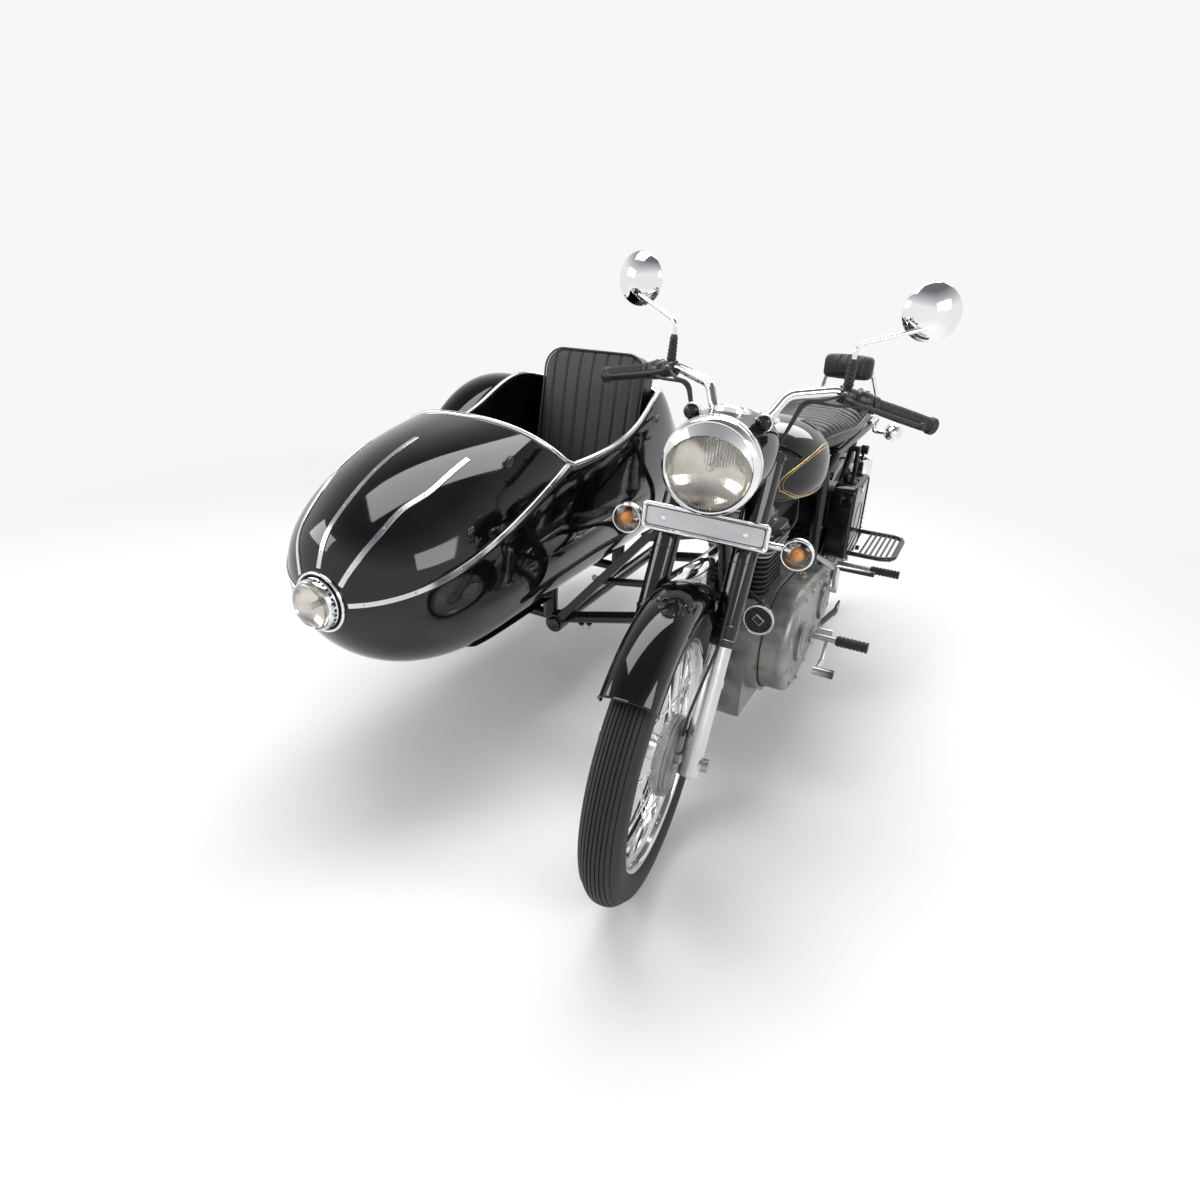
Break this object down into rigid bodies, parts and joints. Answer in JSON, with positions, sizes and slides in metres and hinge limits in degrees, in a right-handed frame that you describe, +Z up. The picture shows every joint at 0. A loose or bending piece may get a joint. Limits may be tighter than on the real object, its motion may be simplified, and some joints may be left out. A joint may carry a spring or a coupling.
{
  "type": "sidecar motorcycle",
  "caption": "Black roadster motorcycle with a bullet-nosed sidecar on its right, wire wheels, chrome trim and a pleated seat.",
  "frame": {"origin": "middle of the footprint box on the ground, under the motorcycle and sidecar", "axes": "+X to the machine's left, +Y to the rear, +Z up; the machine faces -Y and the sidecar is on the -X side"},
  "size_m": [1.644, 2.0593, 1.2777],
  "materials": {
    "gloss_black": "gloss",
    "frame_black": "semi-gloss",
    "chrome": "polished",
    "bright_strip": "polished",
    "plate_white": "satin",
    "bright_alloy": "brushed",
    "cast_alloy": "cast",
    "axle_steel": "brushed",
    "tyre_rubber": "matte",
    "wheel_chrome": "polished",
    "black_rubber": "matte",
    "seat_vinyl": "satin"
  },
  "bodies": {
    "chassis": {"backrest_pad": "seat_vinyl", "carburettor": "cast_alloy", "chain_guard": "frame_black", "cockpit_rim": "chrome", "crankcase": "cast_alloy", "cylinder": "cast_alloy", "drive_chain": "axle_steel", "dual_seat": "seat_vinyl", "engine_covers": "cast_alloy", "exhaust": "chrome", "foot_controls": "chrome", "footrests": "black_rubber", "fuel_tank": "gloss_black", "horn": "chrome", "main_frame": "frame_black", "nose_lamp": "chrome", "rear_axle": "axle_steel", "rear_carrier": "chrome", "rear_lamps": "chrome", "rear_mudguard": "gloss_black", "shock_absorbers": "chrome", "side_boxes": "gloss_black", "side_step": "chrome", "sidecar_axle": "frame_black", "sidecar_cowl": "gloss_black", "sidecar_frame": "frame_black", "sidecar_mudguard": "gloss_black", "sidecar_seat_back": "seat_vinyl", "sidecar_seat_base": "seat_vinyl", "sidecar_seat_frame": "frame_black", "sidecar_tub": "gloss_black", "swinging_arm": "frame_black", "trim_strips": "bright_strip"},
    "steering": {"front_axle": "axle_steel", "fork_sliders": "bright_alloy", "fork_crown": "gloss_black", "front_mudguard": "gloss_black", "nacelle": "gloss_black", "headlamp": "chrome", "front_lamps": "chrome", "front_plate": "plate_white", "handlebar": "chrome", "grips": "black_rubber", "bar_controls": "chrome", "mirrors": "chrome", "control_cables": "black_rubber"},
    "front_roller": {"front_tyre": "tyre_rubber", "front_wheel": "wheel_chrome"},
    "rear_roller": {"rear_tyre": "tyre_rubber", "rear_wheel": "wheel_chrome"},
    "side_roller": {"sidecar_tyre": "tyre_rubber", "sidecar_wheel": "wheel_chrome"},
    "prop_stand": {"side_stand": "frame_black"}
  },
  "joints": [
    {"name": "steering_turn", "type": "hinge", "parent": "chassis", "child": "steering", "pos_m": [0.43697, -0.80674, 0], "axis": [0, 0.4695, 0.8829], "range_deg": [-37, 23]},
    {"name": "front_wheel_spin", "type": "hinge", "parent": "steering", "child": "front_roller", "pos_m": [0.4448, -0.70632, 0.32477], "axis": [0.9925, 0.1076, -0.0572], "continuous": true},
    {"name": "rear_wheel_spin", "type": "hinge", "parent": "chassis", "child": "rear_roller", "pos_m": [0.43697, 0.66326, 0.325], "axis": [1, 0, 0], "continuous": true},
    {"name": "sidecar_wheel_spin", "type": "hinge", "parent": "chassis", "child": "side_roller", "pos_m": [-0.74303, 0.42326, 0.325], "axis": [1, 0, 0], "continuous": true},
    {"name": "side_stand_fold", "type": "hinge", "parent": "chassis", "child": "prop_stand", "pos_m": [0.56897, 0.15526, 0.262], "axis": [1, 0, 0], "range_deg": [-90, 0]}
  ]
}
